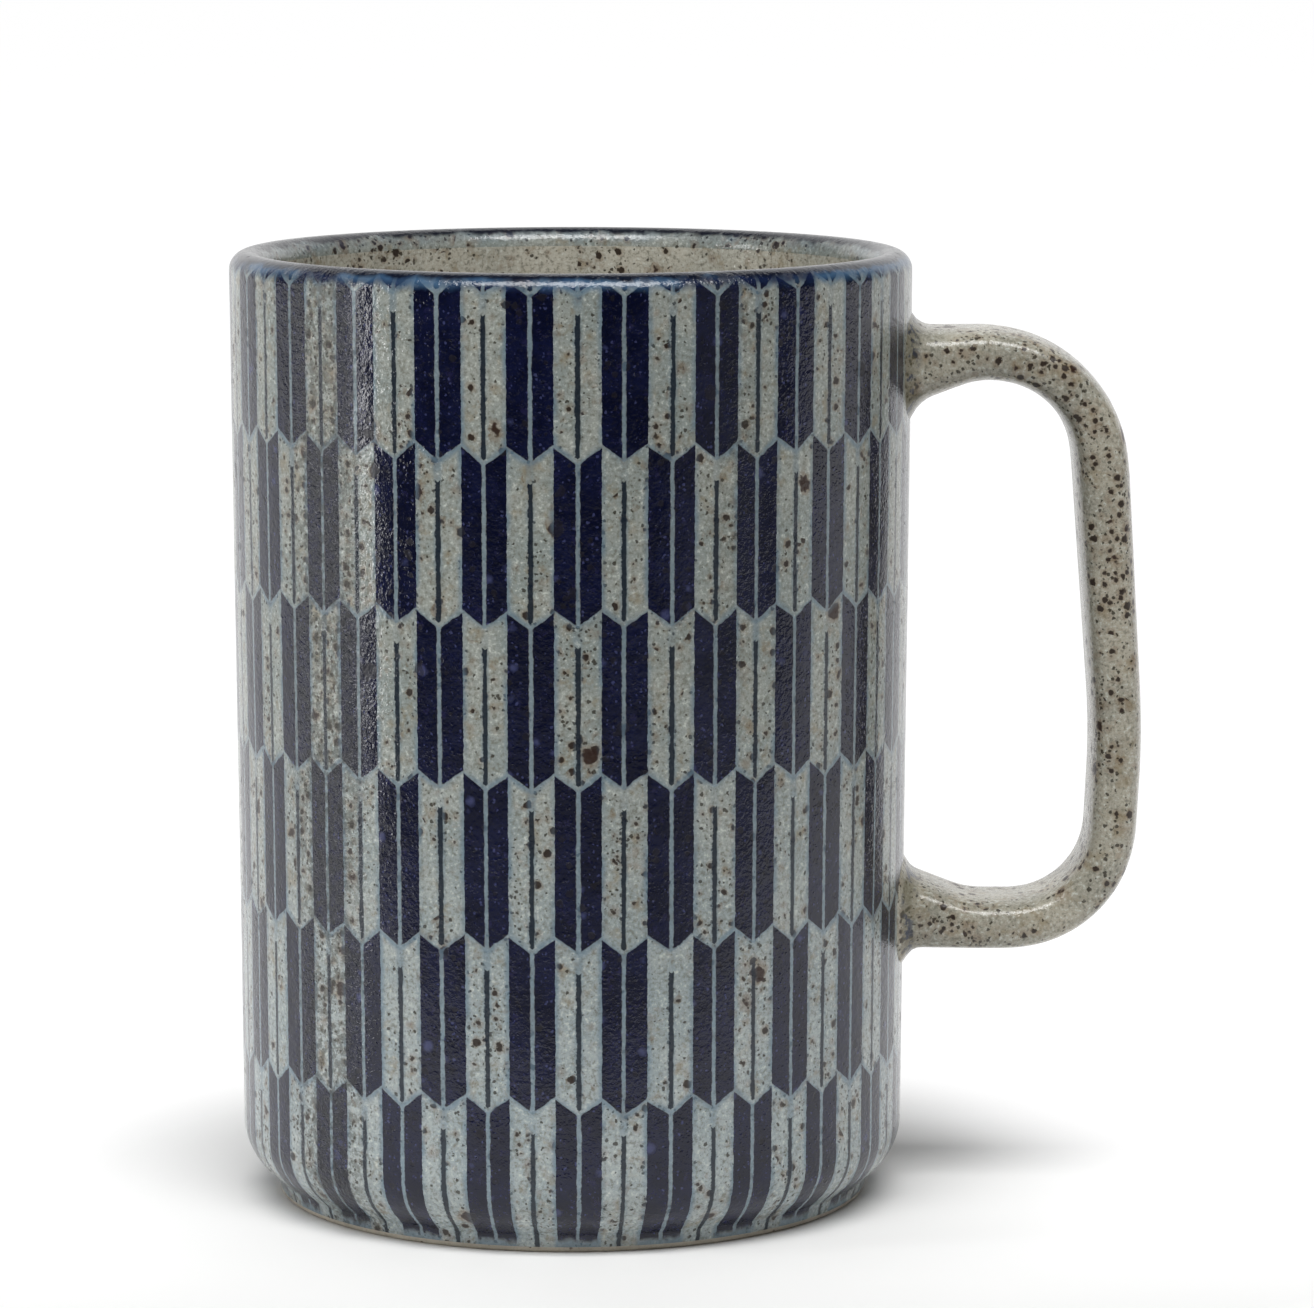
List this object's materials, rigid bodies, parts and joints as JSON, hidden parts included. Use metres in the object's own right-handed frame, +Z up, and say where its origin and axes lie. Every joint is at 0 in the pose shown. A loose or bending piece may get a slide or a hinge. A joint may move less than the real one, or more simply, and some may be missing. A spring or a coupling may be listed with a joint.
{
  "type": "ceramic mug",
  "caption": "Tall straight-sided stoneware mug with a strap handle, indigo feather pattern and cobalt lip.",
  "frame": {"origin": "centre of the foot ring's resting face, on the cup's axis", "axes": "+Z up along the cup's axis, +X from the axis toward the handle"},
  "size_m": [0.1113, 0.083, 0.116],
  "materials": {
    "stoneware": "matte",
    "slip": "matte",
    "feather_glaze": "gloss",
    "clear_glaze": "gloss",
    "cobalt_glaze": "gloss"
  },
  "bodies": {
    "root": {"cup_body": "stoneware", "handle": "stoneware", "upper_handle_slip": "slip", "lower_handle_slip": "slip", "outer_glaze": "feather_glaze", "inner_glaze": "clear_glaze", "handle_glaze": "clear_glaze", "rim_band": "cobalt_glaze"}
  },
  "joints": []
}
